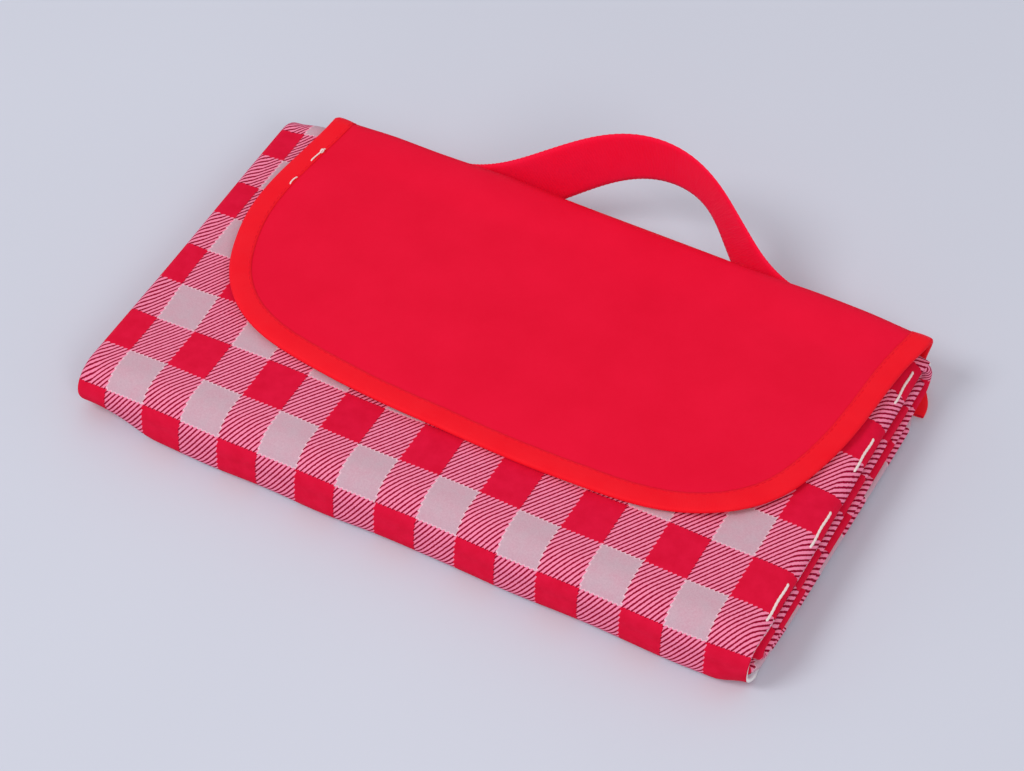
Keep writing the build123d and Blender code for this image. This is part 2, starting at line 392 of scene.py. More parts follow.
def soft(name, dark, light, scale, strength, roughness=(0.7, 0.9)):
    """A plain soft surface with a fine grain: foam, coated cloth, thread or fuzz."""
    f = Finish(name)
    grain = f.noise(scale, 4)
    tone = f.noise(40, 3)
    mixed = f.math("ADD", f.math("MULTIPLY", grain, 0.5), f.math("MULTIPLY", tone, 0.5))
    f.colour(f.mix(f.fit(mixed, 0.3, 0.7, 0.0, 1.0), linear(*dark), linear(*light)))
    f.bump(grain, strength, 0.0002)
    f.rough(f.fit(grain, 0.3, 0.7, *roughness))
    return f.material


GINGHAM = gingham()
OXFORD = oxford("red_oxford", (236, 14, 50), (246, 20, 58))
LINING = oxford("red_lining", (206, 12, 44), (222, 18, 54), 0.7)
BINDING = ribbed("red_binding", (250, 14, 34), (255, 30, 44), 0.7, 0.5, 0.35, 0.4)
WEBBING = ribbed("red_webbing", (255, 14, 56), (255, 26, 70), 1.3, 0.9, 0.5, 0.6)
BACKING = soft("white_backing", (226, 220, 230), (240, 238, 244), 900, 0.15, (0.35, 0.5))
FOAM = soft("foam", (236, 232, 232), (250, 248, 246), 1600, 0.5)
RED_THREAD = soft("red_thread", (232, 14, 40), (246, 22, 48), 3000, 0.4, (0.5, 0.7))
WHITE_THREAD = soft("white_thread", (240, 214, 210), (255, 238, 234), 3000, 0.4, (0.6, 0.8))
FUZZ = soft("closure_tape", (200, 8, 40), (226, 18, 56), 2200, 0.7, (0.8, 0.95))


# ---- the folded mat --------------------------------------------------------------------------------------

# a leaf of the roll holds three layers, and each layer is the mat with its three plies
LEAF = 7.5
THIRD = LEAF / 3
PLY = 2.4
# how deep the face cloth and the wadding reach behind the face, and the gap behind each
FACE, WADDING = 0.35, 2.2
GAP = 0.01
# the turns' centres at the front and the back, and where the strip's two ends are
FRONT_Y, FRONT_Z = -84.0, 2 * LEAF
BACK_Y, BACK_Z = 85.25, 2.5 * LEAF
FIRST_Y, LAST_Y = 96.5, 85.0
TOP = 4 * LEAF


def roll(t, out):
    """Where the strip is, rolled flat from below: t counts its leaves and turns, out is the way out of it."""
    segment = np.clip(np.floor(t), 0, 6).astype(int)
    part = t - segment
    turn = pi * part
    y, z = np.zeros(np.broadcast(t, out).shape), np.zeros(np.broadcast(t, out).shape)
    for k, (start, end, level, side) in {
        0: (FIRST_Y, FRONT_Y, 0.5 * LEAF, -1),
        2: (FRONT_Y, BACK_Y, 3.5 * LEAF, 1),
        4: (BACK_Y, FRONT_Y, 1.5 * LEAF, -1),
        6: (FRONT_Y, LAST_Y, 2.5 * LEAF, 1),
    }.items():
        y = np.where(segment == k, start + (end - start) * part, y)
        z = np.where(segment == k, level + side * out, z)
    for k, (centre_y, centre_z, radius, side) in {
        1: (FRONT_Y, FRONT_Z, 1.5 * LEAF, -1),
        3: (BACK_Y, BACK_Z, LEAF, 1),
        5: (FRONT_Y, FRONT_Z, 0.5 * LEAF, -1),
    }.items():
        y = np.where(segment == k, centre_y + side * (radius + out) * np.sin(turn), y)
        z = np.where(segment == k, centre_z + side * (radius + out) * np.cos(turn), z)
    return y, z


# the lengths of the leaves and turns along the outside, and where each starts on the flat cloth
LENGTHS = np.array(
    [
        FIRST_Y - FRONT_Y, pi * (2 * LEAF), BACK_Y - FRONT_Y, pi * (1.5 * LEAF), BACK_Y - FRONT_Y, pi * LEAF,
        LAST_Y - FRONT_Y,
    ]
)
STARTS = np.concatenate([[0], np.cumsum(LENGTHS)]) - LENGTHS[0] - LENGTHS[1] + FRONT_Y


def along_cloth(t):
    """How far along the flat cloth a place on the roll is."""
    return np.interp(t, np.arange(8), STARTS)


def settle(x, y, z):
    """The soft shape of the whole pack: thinner towards its left end, lower at its back right corner."""
    # the height of the top
    left, right = smooth(-x, 100, 166), smooth(x, 120, 166)
    top = TOP + 1.0 * smooth(x, -40, 140) - 2.2 * left
    top = top - 0.6 * smooth(-x, 112, 164) * smooth(y, 5, 92) - 2.0 * right * smooth(y, 20, 90)
    top = top + 0.35 * waves(x, y, 75, 3) + 0.25 * right * waves(x, y, 26, 5)
    high = z * top / TOP
    # the bottom leaf lifts at the back, where the tail goes under it, and spreads at the left
    raised = 2.2 * smooth(y, 70, 80) * np.clip(1 - high / 12, 0, 1)
    splay = left * smooth(-y, -20, 95) * np.clip(1 - z / TOP, 0, 1)
    # the front isn't quite straight, its lower half hangs out a little, and the back left corner is domed
    front = smooth(-y, 20, 95)
    y = y + front * (0.5 * waves(x, z, 90, 8) + 0.1 - 1.1 * smooth(x, 20, 166) + 1.6 * smooth(-x, 90, 166))
    slump = 7.5 * smooth(-y, 62, 92) * np.clip(1 - z / 14, 0, 1) ** 1.5
    slump = slump * (1 - 1.5 * smooth(-x, 128, 165)) * (1 - 0.7 * smooth(x, 150, 166))
    dome = smooth(x, -167, -152) * (1 - smooth(x, -148, -125)) * smooth(y, 74, 96) * smooth(z, 8, 24)
    return x - 0.5 * splay, y - slump + 1.2 * dome, high + raised + 2.2 * dome


# x of the fold between the two inner thirds, at places along the roll
FOLD_AT = (
    (0.0, 160.5), (0.09, 161.5), (0.15, 166.8), (0.86, 166.6), (0.98, 165.6), (1.1, 164.2), (1.3, 162.0),
    (1.8, 159.5), (2.2, 160.6), (2.9, 161.6), (3.05, 162.2), (3.15, 163.3), (3.3, 165.8), (3.5, 166.8),
    (4.5, 167.0), (5.0, 166.8), (6.5, 165.2),
)
# the curl of the outer third's free edge, at places along the roll: its length and its angle in degrees
CURL_AT = (
    (0.86, 1.4, 0), (0.95, 4.2, 0), (1.05, 5.4, 0), (1.3, 4.6, 0), (1.75, 5.4, 14), (2.1, 6.8, 72),
    (2.5, 7.2, 80), (3.0, 8.2, 76), (3.3, 6.5, 12), (3.8, 5.0, 0), (4.1, 1.0, 0),
)
LEFT_END, CURL_START = -168.9, 160.4
# the waves of the pack's edges are worked out as if each leaf and each turn were this long
WANDER = 40


def left_end(t):
    """Where the pack's left end is: the outside of the fold of the outer third."""
    wander = 0.5 * waves(t * WANDER, 0 * t, 70, 13)
    return LEFT_END + np.interp(t, (0.5, 1.4, 2.5, 4.5, 6.5), (-1.0, -0.4, 0.0, 0.8, 0.4)) + wander


def outer_run(part, t):
    """The outer third along its cloth from its free edge, and its curl's start, length and angle."""
    at, lengths, angles = zip(*CURL_AT)
    wander = 0.3 * waves(t * WANDER, 0 * t, 60, 11)
    start = CURL_START - 2.4 * np.clip(t - 2, 0, 1) + 1.5 * smooth(t, 3, 3.4) + wander
    length = np.interp(t, at, lengths)
    curl = np.radians(np.maximum(np.interp(t, at, angles), 1))
    end = start + length
    return end + (left_end(t) + THIRD - end) * part, start, length, curl


def layer(u, t, depth):
    """A point of the mat: u goes over its thirds and the folds between them, depth is behind its face."""
    third = np.clip(np.floor(u), 0, 4).astype(int)
    part = u - third
    theta = pi * part
    run, start, length, curl = outer_run(part, t)
    fold = np.interp(t, *zip(*FOLD_AT)) + 0.6 * waves(t * WANDER, 0 * t, 45, 12)
    left = left_end(t)
    wide, narrow = THIRD, 1.22
    beyond = np.clip(run - start, 0, None)
    bend = curl * beyond / length
    radius = length / curl
    outer_x = np.where(beyond > 0, start + radius * np.sin(bend), run)
    outer_o = THIRD - radius * (1 - np.cos(bend))
    # the outer third, its fold, the middle third and its fold; the inner third is what is left
    where = [third == k for k in range(4)]
    x = np.select(
        where,
        [
            outer_x,
            left + wide - wide * np.sin(theta),
            left + wide + (fold - narrow - left - wide) * part,
            fold - narrow + narrow * np.sin(theta),
        ],
        fold - narrow + (left + 4.0 - fold + narrow) * part,
    )
    middle = THIRD / 2
    o = np.select(
        where, [outer_o, THIRD * np.cos(theta), -THIRD + 0 * part, -middle - middle * np.cos(theta)], 0.0
    )
    # the way out of the cloth, along the pack and through the leaf
    across = np.select(where, [np.sin(bend), -np.sin(theta), 0 * part, np.sin(theta)], 0.0)
    out = np.select(where, [np.cos(bend), np.cos(theta), -1 + 0 * part, -np.cos(theta)], 1.0)
    thick = PLY * (1 - 0.4 * smooth(np.where(third == 0, run, 0), 157, 169))
    reach = thick * (0.5 - depth / PLY)
    pinch = 1 - 0.13 * smooth(x, 149, 163) - 0.05 * smooth(-x, 150, 164)
    sway = 0.12 * waves(x, t * WANDER, 34, 21)
    x = x + across * reach
    y, z = roll(t, (o + out * reach) * pinch + sway)
    return np.stack(settle(x, y, z), -1)


def cloth_uv(u, t):
    """The place on the flat cloth, and how the cloth is pulled out of square there."""
    run, start, length, _ = outer_run(np.clip(u, 0, 1), t)
    # a curl shows no more of the check than this, whatever its length
    shown = 5.2
    outer = run - np.clip(run - start, 0, None) * (1 - shown / np.maximum(length, shown))
    flat = np.where(u < 1, outer, np.interp(u, (1, 2, 3, 4, 5), (-165.1, -173.0, -499.0, -503.0, -828.0)))
    v = along_cloth(t)
    # the bottom leaf and the inner thirds
    x_skew = 20 * smooth(v, -150, -84) * smooth(u, 1.5, 3.0)
    v_skew = -30.4 * smooth(-v, 128, 175)
    # the left end, its back corner, the back right corner and the left half of the top
    v_skew = v_skew + 3.5 * smooth(-flat, 135, 166) * smooth(v, 10, 80) * (u < 2.5)
    v_skew = v_skew + 3.8 * smooth(-flat, 118, 150) * smooth(v, 64, 88)
    v_skew = v_skew + 5 * smooth(flat, 146, 164) * smooth(v, 50, 86)
    pulled = smooth(-flat, 60, 140) * smooth(v, -60, -10)
    x_skew = x_skew + 2.6 * pulled
    v_skew = v_skew - 1.2 * pulled * (1 - smooth(v, 30, 80))
    return np.stack([flat + x_skew, v + v_skew], -1) * MM


def spaced(*stretches):
    """Counts of cells over unit stretches, as one row of places."""
    out = [np.linspace(k, k + 1, cells, endpoint=False) for k, cells in enumerate(stretches)]
    return np.concatenate(out + [[len(stretches)]])


# where the face cloth's two pieces meet, a little past the fold of the outer third
SPLIT = 2.03


def across_mat(*stretches):
    """Spaced places across the mat, closer at the outer third's free edge, and one at the split."""
    u = spaced(*stretches)
    return np.unique(np.concatenate([np.linspace(0, 0.04, 16), u[u > 0.041], [SPLIT]]))


def mat_piece(name, near, far, materials, u, t, keep, nodes):
    """One ply of the mat between two depths behind its face."""
    uu, tt = np.meshgrid(u, t, indexing="ij")
    tiny = 1e-6
    cells = keep(uu[:-1, :-1] + tiny, tt[:-1, :-1] + tiny)
    piece = shell(name, layer(uu, tt, near), layer(uu, tt, far), cloth_uv(uu, tt), materials, cells)
    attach(piece, "mat")
    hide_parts(*nodes)


fine_u = across_mat(96, 12)
fine_t = spaced(48, 36, 56, 24)
coarse_u = across_mat(46, 10, 36, 10, 30)
coarse_t = spaced(30, 26, 34, 18, 30, 14, 30)
mat_piece(
    "mat_face_outer_turn", 0, FACE, (GINGHAM, FOAM, FOAM), fine_u, fine_t,
    lambda u, t: (u < SPLIT) & (t < 4), ("gingham_face",),
)
mat_piece(
    "mat_face_inner_folds", 0, FACE, (GINGHAM, FOAM, FOAM), coarse_u, coarse_t,
    lambda u, t: (u >= SPLIT) | (t >= 4), ("gingham_face",),
)
mat_piece(
    "mat_foam_wadding", FACE + GAP, WADDING, (FOAM, FOAM, FOAM), coarse_u, coarse_t,
    lambda u, t: u >= 0, ("foam_wadding",),
)
mat_piece(
    "mat_backing", WADDING + GAP, PLY, (BACKING, BACKING, BACKING), coarse_u, coarse_t,
    lambda u, t: u >= 0, ("waterproof_backing",),
)


# ---- the white tacking thread along the free edge of the outer third ---------------------------------------


def strand(path, up, wide, high):
    """A length of thread lying along a path of points."""
    along = unit(np.gradient(path, axis=0))
    side = np.cross(up, along)
    angle = np.linspace(0, 2 * pi, 8, endpoint=False)
    place = np.linspace(0, 1, len(path))
    swell = (0.35 + 0.65 * np.clip(np.sin(pi * place) * 6, 0, 1) ** 0.5) * (1 + 0.1 * np.sin(place * 61))
    centre = path + up * (high * 0.25 - 0.5 * high * (1 - np.clip(np.sin(pi * place) * 8, 0, 1)))[:, None]
    ring = side[:, None] * (np.cos(angle) * wide / 2)[None, :, None]
    ring = ring + up[:, None] * (np.sin(angle) * high / 2)[None, :, None]
    return tube(centre[:, None] + ring * swell[:, None, None])


def edge_path(t, beyond):
    """Points on the outer third's face a little past the start of its curl, and the way out of the cloth."""
    end, _, length, _ = outer_run(0 * t, t)
    u = (length - beyond) / (end - left_end(t) - THIRD)
    path = layer(u, t, 0.0)
    return path, unit(layer(u, t, -1.0) - path)


# each tack lies on a red check, at one of these places along the cloth, and dips into it at both ends
TACK_ROWS = (-72.6, -28.3, 19.0, 65.3)
TACK_FROM, TACK_TO, TACK_POINTS = -7.0, 15.5, 60
TACK_WIDE, TACK_HIGH = 1.25, 0.7
tacks = []
for row in TACK_ROWS:
    t = np.interp(np.linspace(row + TACK_FROM, row + TACK_TO, TACK_POINTS), STARTS, np.arange(8))
    path, up = edge_path(t, 3.4 + 0.15 * np.sin(np.linspace(0, 9, TACK_POINTS)))
    tacks.append(strand(path, up, TACK_WIDE, TACK_HIGH))
edge_stitch = many("mat_edge_stitch", tacks, WHITE_THREAD)
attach(edge_stitch, "mat")
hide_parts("edge_stitch")


# ---- the red cover: the flap, the spine and the tail under the pack ----------------------------------------

# the radius and centre of the cover's bend over the pack's back edge
RIDGE = 4.0
RIDGE_Y, RIDGE_Z = 94.1, 29.7
SPINE_TOP = -RIDGE * pi / 2
# the radius of its bend under the pack
TURN = 3.0
SPINE_END = SPINE_TOP - (RIDGE_Z - 3.9)
TAIL_START = SPINE_END - TURN * pi / 2
TAIL_END = TAIL_START - 15.0


def cover(x, v, h):
    """A point of the cover: v is towards the flap's front, and below 0 down the spine; h is outwards."""
    ridge = np.clip(-v, 0, -SPINE_TOP) / RIDGE
    down = np.clip(SPINE_TOP - v, 0, SPINE_TOP - SPINE_END)
    turn = np.clip(SPINE_END - v, 0, SPINE_END - TAIL_START) / TURN
    tail = np.clip(TAIL_START - v, 0, None)
    y = RIDGE_Y - np.clip(v, 0, None) + RIDGE * np.sin(ridge) - TURN * (1 - np.cos(turn)) - tail
    z = RIDGE_Z + RIDGE * np.cos(ridge) - down - TURN * np.sin(turn)
    angle = ridge + turn
    # what follows is the cloth's unevenness on the flap, its rise at the ridge and a hollow at its left
    lift = smooth(v, -4, 14)
    front = smooth(v, 120, 148)
    z = z + lift * (0.35 * waves(x, v, 95, 31) + 0.12 * waves(x, v, 38, 32) - 0.5 * front)
    z = z + 0.8 * lift * (1 - smooth(v, 10, 60)) * np.exp(-(((x + 60) / 60) ** 2))
    z = z + 2.0 * smooth(-np.abs(v - 2), -26, -2) * smooth(x, -142, -110) * (1 - smooth(x, 130, 160))
    feet = 1.2 * np.exp(-(((x + 52) / 24) ** 2)) + 0.9 * np.exp(-(((x - 108) / 22) ** 2))
    z = z + feet * smooth(-np.abs(v - 2), -26, -2)
    z = z - 1.2 * lift * smooth(-x, 118, 150) * smooth(v, 0, 30) * (1 - smooth(v, 60, 130))
    y = y + 0.35 * smooth(-v, 6, 14) * (1 - smooth(-v, 26, 34)) * waves(x, v * 2, 110, 33)
    return np.stack([x + 0 * v, y + h * np.sin(angle), z + h * np.cos(angle)], -1)


def body(v):
    """How far the cover is from a double cloth, in its tail, to a padded one: 0 to 1."""
    return smooth(v, SPINE_END - 4, SPINE_END + 3)


# the cover's edge, from the left end of its tail round the flap to the right end of its tail
STATION = 2.4
outline = catmull(
    np.array(
        [
            (-148, TAIL_END), (-148, -30), (-147, -8), (-146.5, 2), (-149, 22), (-151.8, 49), (-151.2, 70),
            (-146.7, 89.6), (-139, 108), (-126, 124), (-107, 135.5), (-85, 141), (-50, 145.4), (-29, 147),
            (16, 148.4), (54, 148.2), (83, 146.8), (101, 143.6), (118, 137), (133, 126), (144, 111),
            (150.2, 94), (154.5, 76), (157, 58), (160, 22), (164.4, 0), (164.0, -7), (162.0, -15),
            (161.2, -26), (163.2, -34), (167.4, -40), (170.0, -45), (170.2, TAIL_END),
        ],
        float,
    )
)
outline = resample(outline, STATION)
for _ in range(6):
    outline[1:-1] = outline[1:-1] / 2 + (outline[:-2] + outline[2:]) / 4
outline = resample(outline, STATION)
heading = unit(np.gradient(outline, axis=0))
inward = np.stack([heading[:, 1], -heading[:, 0]], 1)


def inset(distance):
    """The outline, moved inwards."""
    return outline + inward * distance


def spread(table, count):
    """A row of points, made into that many."""
    at = np.linspace(0, 1, count)
    known = np.linspace(0, 1, len(table))
    return np.stack([np.interp(at, known, column) for column in table.T], 1)


# the cover is a grid between its left and right edges, which meet near the middle of the flap's front
edge = inset(0.5)
middle = len(edge) // 2 + 4
left_edge = resample(edge[: middle - 2], 3.0)
right_edge = resample(edge[: middle + 1 : -1], 3.0)
row_count = max(len(left_edge), len(right_edge))
left_edge, right_edge = spread(left_edge, row_count), spread(right_edge, row_count)
share = np.linspace(0, 1, 110)[:, None, None]
cover_xv = left_edge[None] * (1 - share) + right_edge[None] * share


def cover_piece(name, low, high, thin_low, thin_high, materials, slot, nodes, rows=slice(None)):
    """One layer of the cover, between two heights on its padded part and two on its tail."""
    grid = cover_xv[:, rows]
    x, v = grid[..., 0], grid[..., 1]
    full = body(v)
    top = cover(x, v, thin_high + (high - thin_high) * full)
    bottom = cover(x, v, thin_low + (low - thin_low) * full)
    piece = shell(name, top, bottom, grid * MM, materials)
    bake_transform(piece)
    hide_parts(*nodes)


cover_piece(
    "cover_outer_cloth", 0.4, 0.9, 0.02, 0.5,
    (OXFORD, OXFORD, OXFORD), "red_oxford", ("flap_panel", "spine_panel"),
)
padded_rows = slice(int(np.argmax(left_edge[:, 1] > SPINE_END)), None)
cover_piece(
    "cover_foam", -0.38, 0.38, -0.38, 0.38,
    (FOAM, FOAM, FOAM), "foam", ("flap_interlining", "spine_interlining"), padded_rows,
)
cover_piece(
    "cover_lining", -0.9, -0.4, -0.5, -0.02,
    (LINING, LINING, LINING), "red_oxford", ("flap_lining", "spine_lining"),
)


# ---- the tape folded round the cover's edge, and its stitches ----------------------------------------------

BINDING_WIDTH = 10.4
# half the room between the tape's two sides, and how thin the bound edge gets on the tail
COVER_HALF = 0.93
THINNED = 0.62


def puff(a):
    """How high the tape stands, at a distance from the cover's edge."""
    return 1.3 + 0.3 * np.sin(pi * np.clip((a - 0.6) / 8.2, 0, 1)) - 0.1 * smooth(a, 8.4, 10)


def tape_profile():
    """The folded tape across: how far inside the edge, and how high, as a closed loop of points."""
    fold = np.linspace(0, pi, 11)[1:-1]

    def across_tape(start, deep):
        there = np.linspace(BINDING_WIDTH, start, 9)
        return np.concatenate([there, start - deep * np.sin(fold), np.linspace(start, BINDING_WIDTH, 9)])

    top = np.linspace(BINDING_WIDTH, 1.5, 9)
    outer_high = np.concatenate([puff(top), 1.36 * np.cos(fold), -puff(top[::-1])])
    inner_high = np.concatenate([np.full(9, COVER_HALF), COVER_HALF * np.cos(fold), np.full(9, -COVER_HALF)])
    outer = np.stack([across_tape(1.5, 1.45), outer_high], 1)
    inner = np.stack([across_tape(1.6, 1.0), inner_high], 1)
    return np.concatenate([outer, inner[::-1]])


profile = tape_profile()
stations = np.arange(len(outline))
rings = []
for k in stations:
    a = profile[:, 0]
    x, v = outline[k, 0] + inward[k, 0] * a, outline[k, 1] + inward[k, 1] * a
    thinner = THINNED + (1 - THINNED) * body(outline[k, 1])
    ripple = 1 + 0.05 * sin(k * 1.7) + 0.04 * sin(k * 0.61)
    rings.append(cover(x, v, profile[:, 1] * thinner * np.where(np.abs(profile[:, 1]) > 1.0, ripple, 1)))
points, quads = tube(np.array(rings))
across = np.concatenate([[0], np.cumsum(np.linalg.norm(np.diff(profile, axis=0), axis=1))])
tape_uv = np.stack(np.broadcast_arrays(across[None, :], stations[:, None] * STATION), -1).reshape(-1, 2) * MM
binding = make("cover_binding", points, quads, tape_uv, materials=(BINDING,))
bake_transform(binding)
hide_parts("flap_binding", "spine_binding_left", "spine_binding_right")

SEAM_INSET, SEAM_HIGH = 9.2, 1.24
seam = resample(inset(SEAM_INSET), 1.2)
parts = []
for side in (1, -1):
    height = side * (SEAM_HIGH * (THINNED + (1 - THINNED) * body(seam[:, 1])))
    path = cover(seam[:, 0], seam[:, 1], height)
    core = cover(seam[:, 0], seam[:, 1], 0 * height)
    up = side * unit(cover(seam[:, 0], seam[:, 1], 1 + 0 * height) - core)
    parts += stitching(path, up, 2.5, 0.9, 0.42, 0.12)
binding_stitch = many("cover_binding_stitch", parts, RED_THREAD)
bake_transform(binding_stitch)
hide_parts("flap_binding_stitch")

# the seam that joins the tail to the mat
tail_x = np.linspace(-137, 154, 240)
tail_v = np.full_like(tail_x, TAIL_END + 5.0)
tail_path = cover(tail_x, tail_v, 0.5 + 0 * tail_x)
tail_stitch = many(
    "tail_seam_stitch_row",
    stitching(tail_path, np.tile([0.0, 0.0, -1.0], (len(tail_x), 1)), 2.6, 0.9, 0.42, 0.12),
    RED_THREAD,
)
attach(tail_stitch, "mat")
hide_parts("tail_seam_stitch")


# ---- the white thread ends at the flap's left edge ---------------------------------------------------------


def on_flap(x, y, h):
    """A point over the flap, from its place in the frame."""
    return cover(np.asarray(x, float), RIDGE_Y - np.asarray(y, float), np.asarray(h, float))


def loose_thread(track, thick=0.7):
    """A short length of thread lying along the points."""
    track = catmull(np.array(track, float), 8)
    centre = on_flap(track[:, 0], track[:, 1], track[:, 2])
    along = unit(np.gradient(centre, axis=0))
    side = unit(np.cross(along, [0, 0, 1.0]))
    up = np.cross(side, along)
    angle = np.linspace(0, 2 * pi, 10, endpoint=False)
    twist = np.arange(len(centre)) * 0.9
    size = thick / 2 * (1 + 0.12 * np.cos(2 * (angle[None] + twist[:, None])))
    size[0] *= 0.5
    size[-1] *= 0.5
    ring = side[:, None] * np.cos(angle)[None, :, None] + up[:, None] * np.sin(angle)[None, :, None]
    return tube(centre[:, None] + ring * size[..., None])


# a stitch at the front, a thread that ends in a knot of three loops, and the knot's short tail
top, sunk = 1.35, 0.9
threads = [
    loose_thread(
        [
            (-142.2, 46.4, sunk), (-142.3, 47.6, top + 0.3), (-142.0, 50.2, top + 0.35),
            (-141.7, 51.6, top), (-141.7, 52.2, sunk),
        ]
    ),
    loose_thread(
        [
            (-141.2, 64.2, sunk), (-141.1, 65.2, top + 0.3), (-140.6, 68.0, top + 0.4),
            (-140.0, 70.2, top + 0.6), (-139.7, 71.4, top + 0.7),
        ]
    ),
]
for k in range(3):
    tilt = 2.1 * k
    ring = [
        (
            -139.6 + 0.65 * cos(a) * cos(tilt) + 0.25 * sin(a),
            71.9 + 0.85 * cos(a) * sin(tilt) + 0.6 * sin(a),
            top + 0.7 + 0.45 * sin(a + tilt),
        )
        for a in np.linspace(0, 2 * pi, 14)
    ]
    threads.append(loose_thread(ring, 0.65))
knot_tail = [(-139.6, 72.3, top + 0.9), (-139.1, 73.1, top + 1.0), (-138.9, 73.8, top + 0.6)]
threads.append(loose_thread(knot_tail, 0.6))
thread_ends = many("white_thread_stitches_and_knot", threads, WHITE_THREAD)
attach(thread_ends, "flap")
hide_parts("white_thread_ends")


# ---- hook and loop tapes -----------------------------------------------------------------------------------

TAPE_X, TAPE_Y = (-41.0, 49.0), (-42.0, -22.0)
LOOP_LOW, LOOP_HIGH = 30.75, 31.15
HOOK_LOW, HOOK_HIGH = 31.85, 32.75


def tape_strip(name, low, high, node, wavy):
    """A strip of tape with softened edges."""
    gx, gy = np.meshgrid(np.linspace(*TAPE_X, 46), np.linspace(*TAPE_Y, 12), indexing="ij")
    near = np.minimum(np.minimum(gx - TAPE_X[0], TAPE_X[1] - gx), np.minimum(gy - TAPE_Y[0], TAPE_Y[1] - gy))
    round_off = 0.22 * (1 - smooth(near, 0, 1.2))
    uneven = 0.05 * waves(gx, gy, 20, wavy)
    upper = np.stack([gx, gy, high - round_off + uneven], -1)
    lower = np.stack([gx, gy, low + round_off + uneven], -1)
    piece = shell(name, upper, lower, np.stack([gx, gy], -1) * MM, (FUZZ, FUZZ, FUZZ))
    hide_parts(node)
    return piece


def hair(base, lean, height, width, thick, down):
    """A small bent hook or loop of plastic thread."""
    bend = np.linspace(0, 1, 6)[:, None] * pi * 0.72
    rise = np.array([0, 0, -1.0 if down else 1.0])
    centre = base + rise * height * np.sin(bend) + lean * width * (1 - np.cos(bend))
    angle = np.linspace(0, 2 * pi, 4, endpoint=False)
    side = unit(np.cross(lean, rise))
    ring = side * np.cos(angle)[:, None] + unit(lean + rise) * np.sin(angle)[:, None]
    return tube(centre[:, None] + ring[None] * thick / 2)


def pile(name, level, height, seed, down):
    """Rows of hooks or loops over a tape: hooks point down and lean one of two ways, loops lean any way."""
    random = np.random.default_rng(seed)
    step = 1.25
    parts = []
    for x in np.arange(TAPE_X[0] + 1.8, TAPE_X[1] - 1.6, step):
        for y in np.arange(TAPE_Y[0] + 1.8, TAPE_Y[1] - 1.6, step):
            turn = random.uniform(0, 2 * pi) if not down else random.choice([0.0, pi])
            lean = np.array([cos(turn), sin(turn), 0.0])
            place = np.array([x, y, level]) + np.append(random.uniform(-0.25, 0.25, 2), 0)
            parts.append(hair(place, lean, height * random.uniform(0.8, 1.1), 0.28, 0.2, down))
    piece = many(name, parts, FUZZ)
    return piece


loop_tape = tape_strip("loop_tape_strip", LOOP_LOW, LOOP_HIGH, "loop_tape", 41)
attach(loop_tape, "mat")
loops = pile("loop_tape_pile", LOOP_HIGH - 0.05, 0.3, 42, False)
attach(loops, "mat")
hook_tape = tape_strip("hook_tape_strip", HOOK_LOW, HOOK_HIGH, "hook_tape", 43)
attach(hook_tape, "flap")
hooks = pile("hook_tape_hooks", HOOK_LOW + 0.05, 0.35, 44, True)
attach(hooks, "flap")


def tape_seam(name, level, up, body_name, node):
    """The line of stitches round a tape, 1 mm inside its edge."""
    corners = [
        (TAPE_X[0] + 1, TAPE_Y[0] + 1), (TAPE_X[1] - 1, TAPE_Y[0] + 1),
        (TAPE_X[1] - 1, TAPE_Y[1] - 1), (TAPE_X[0] + 1, TAPE_Y[1] - 1),
    ]
    parts = []
    for k in range(4):
        a, b = corners[k], corners[(k + 1) % 4]
        path = resample(np.array([(*a, level), (*b, level)], float), 1.0)
        parts += stitching(path, np.tile([0.0, 0.0, up], (len(path), 1)), 2.4, 0.8, 0.4, 0.1)
    piece = many(name, parts, RED_THREAD)
    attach(piece, body_name)
    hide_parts(node)


tape_seam("loop_tape_seam", LOOP_HIGH, 1.0, "mat", "loop_tape_stitch")
tape_seam("hook_tape_seam", HOOK_LOW, -1.0, "flap", "hook_tape_stitch")


# ---- the webbing handle ------------------------------------------------------------------------------------

WEB_WIDTH, WEB_THICK = 30.0, 1.6
HANDLE_X, FOOT_Y, FOOT_Z = 7.0, 99.95, 16.0
HALF_SPAN, SEWN = 90.5, 28.3
# how far the loop stands out, up and to the right of its feet
BOW, RISE, DRIFT = 24.8, 42.3, 5.6
STEP = 0.65
# how far the strap leans outwards, in radians, at places from its left foot at -1 to its right foot at 1
LEAN_AT = (
    (-1, 0), (-0.8, 0.1), (-0.5, 0.06), (-0.25, -0.04), (0, -0.16), (0.2, -0.21), (0.35, -0.13), (0.5, -0.01),
    (0.65, 0.03), (0.8, 0.09), (1, 0),
)


def handle_line():
    """The strap's middle line from end to end, and how far along the loop each point is, from -1 to 1."""
    u = np.linspace(-1, 1, 400)
    h = np.cos(pi * u / 2) ** 2
    x = HANDLE_X + HALF_SPAN * u + DRIFT * (1 - u**2)
    loop = np.stack([x, FOOT_Y + BOW * h, FOOT_Z + RISE * h, u], 1)
    first, last = loop[0].copy(), loop[-1].copy()
    start = np.array([first - (SEWN, 0, 0, 0), first - (SEWN / 2, 0, 0, 0)])
    end = np.array([last + (SEWN / 2, 0, 0, 0), last + (SEWN, 0, 0, 0)])
    line = resample(np.concatenate([start, loop, end]), STEP)
    line[:, 0] += 6.4 * np.exp(-(((line[:, 3] - 0.2) / 0.35) ** 2))
    line[:, 2] -= 3.6 * (1 - line[:, 3] ** 2)
    for _ in range(60):
        line[1:-1, :3] = line[1:-1, :3] / 2 + (line[:-2, :3] + line[2:, :3]) / 4
    return line


